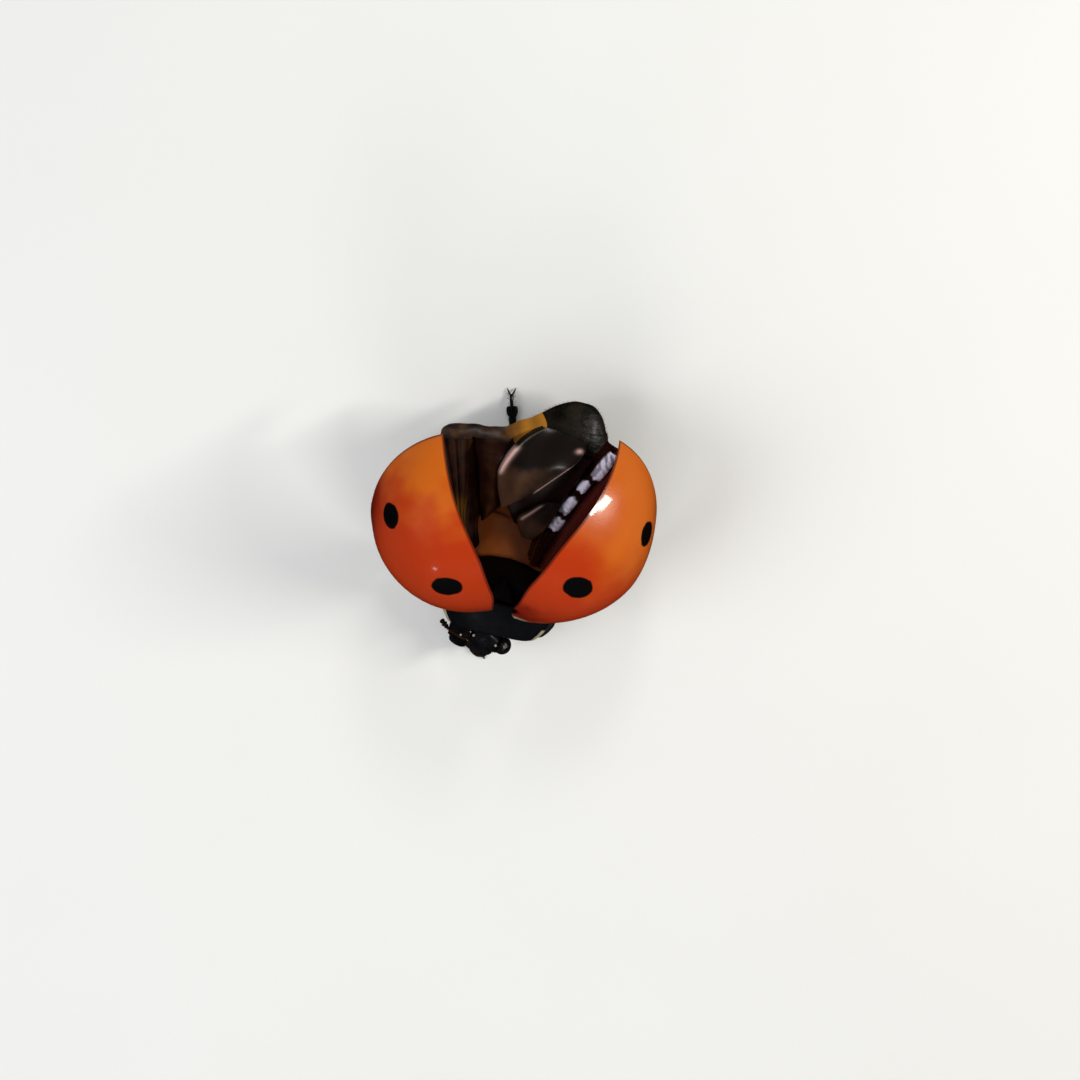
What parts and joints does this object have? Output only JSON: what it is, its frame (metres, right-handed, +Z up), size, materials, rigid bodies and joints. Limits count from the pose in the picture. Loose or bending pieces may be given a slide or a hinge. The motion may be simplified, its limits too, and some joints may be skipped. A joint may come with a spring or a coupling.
{
  "type": "seven-spot ladybird",
  "caption": "Life-size still model of a red-orange ladybird with its spotted wing cases raised over folded hind wings, standing on its feet.",
  "frame": {"origin": "on the floor, under the middle of the beetle's outline", "axes": "+Z up, the head towards -Y, the tail towards +Y, the beetle's own left side towards +X"},
  "size_m": [0.0076, 0.0084, 0.0058],
  "materials": {
    "wing_case": "polished red-orange shell with round black spots",
    "pronotum": "black shell with pale front corners",
    "black_shell": "black finely pitted shell",
    "abdomen": "dark grey-black shell in rings",
    "metathorax": "amber-brown shell",
    "hindwing": "folded maroon-brown membrane with veins",
    "hindwing_membrane": "amber membrane",
    "eye": "black faceted eye",
    "mouth_and_feelers": "dark brown shell with fine hairs",
    "leg": "black shell with fine hairs"
  },
  "bodies": {
    "root": {"abdomen_1": "abdomen", "abdomen_2": "abdomen", "abdomen_3": "abdomen", "abdomen_4": "abdomen", "abdomen_5": "abdomen", "abdomen_6": "abdomen", "eye_left": "eye", "eye_right": "eye", "feeler_left": "mouth_and_feelers", "feeler_right": "mouth_and_feelers", "front_coxa_left": "leg", "front_coxa_right": "leg", "front_femur_left": "leg", "front_femur_right": "leg", "front_tarsus_left": "leg", "front_tarsus_right": "leg", "front_tibia_left": "leg", "front_tibia_right": "leg", "head": "black_shell", "hind_coxa_left": "leg", "hind_coxa_right": "leg", "hind_femur_left": "leg", "hind_femur_right": "leg", "hind_tarsus_left": "leg", "hind_tarsus_right": "leg", "hind_tibia_left": "leg", "hind_tibia_right": "leg", "hindwing_left": "hindwing", "hindwing_right": "hindwing", "hindwing_tip_left": "hindwing", "hindwing_tip_right": "hindwing_membrane", "labrum": "black_shell", "mandible_left": "black_shell", "mandible_right": "black_shell", "mesothorax": "black_shell", "metathorax": "metathorax", "middle_coxa_left": "leg", "middle_coxa_right": "leg", "middle_femur_left": "leg", "middle_femur_right": "leg", "middle_tarsus_left": "leg", "middle_tarsus_right": "leg", "middle_tibia_left": "leg", "middle_tibia_right": "leg", "palp_left": "mouth_and_feelers", "palp_right": "mouth_and_feelers", "pronotum": "pronotum", "prosternum": "black_shell", "scutellum": "black_shell", "wing_case_left": "wing_case", "wing_case_right": "wing_case"}
  },
  "joints": []
}
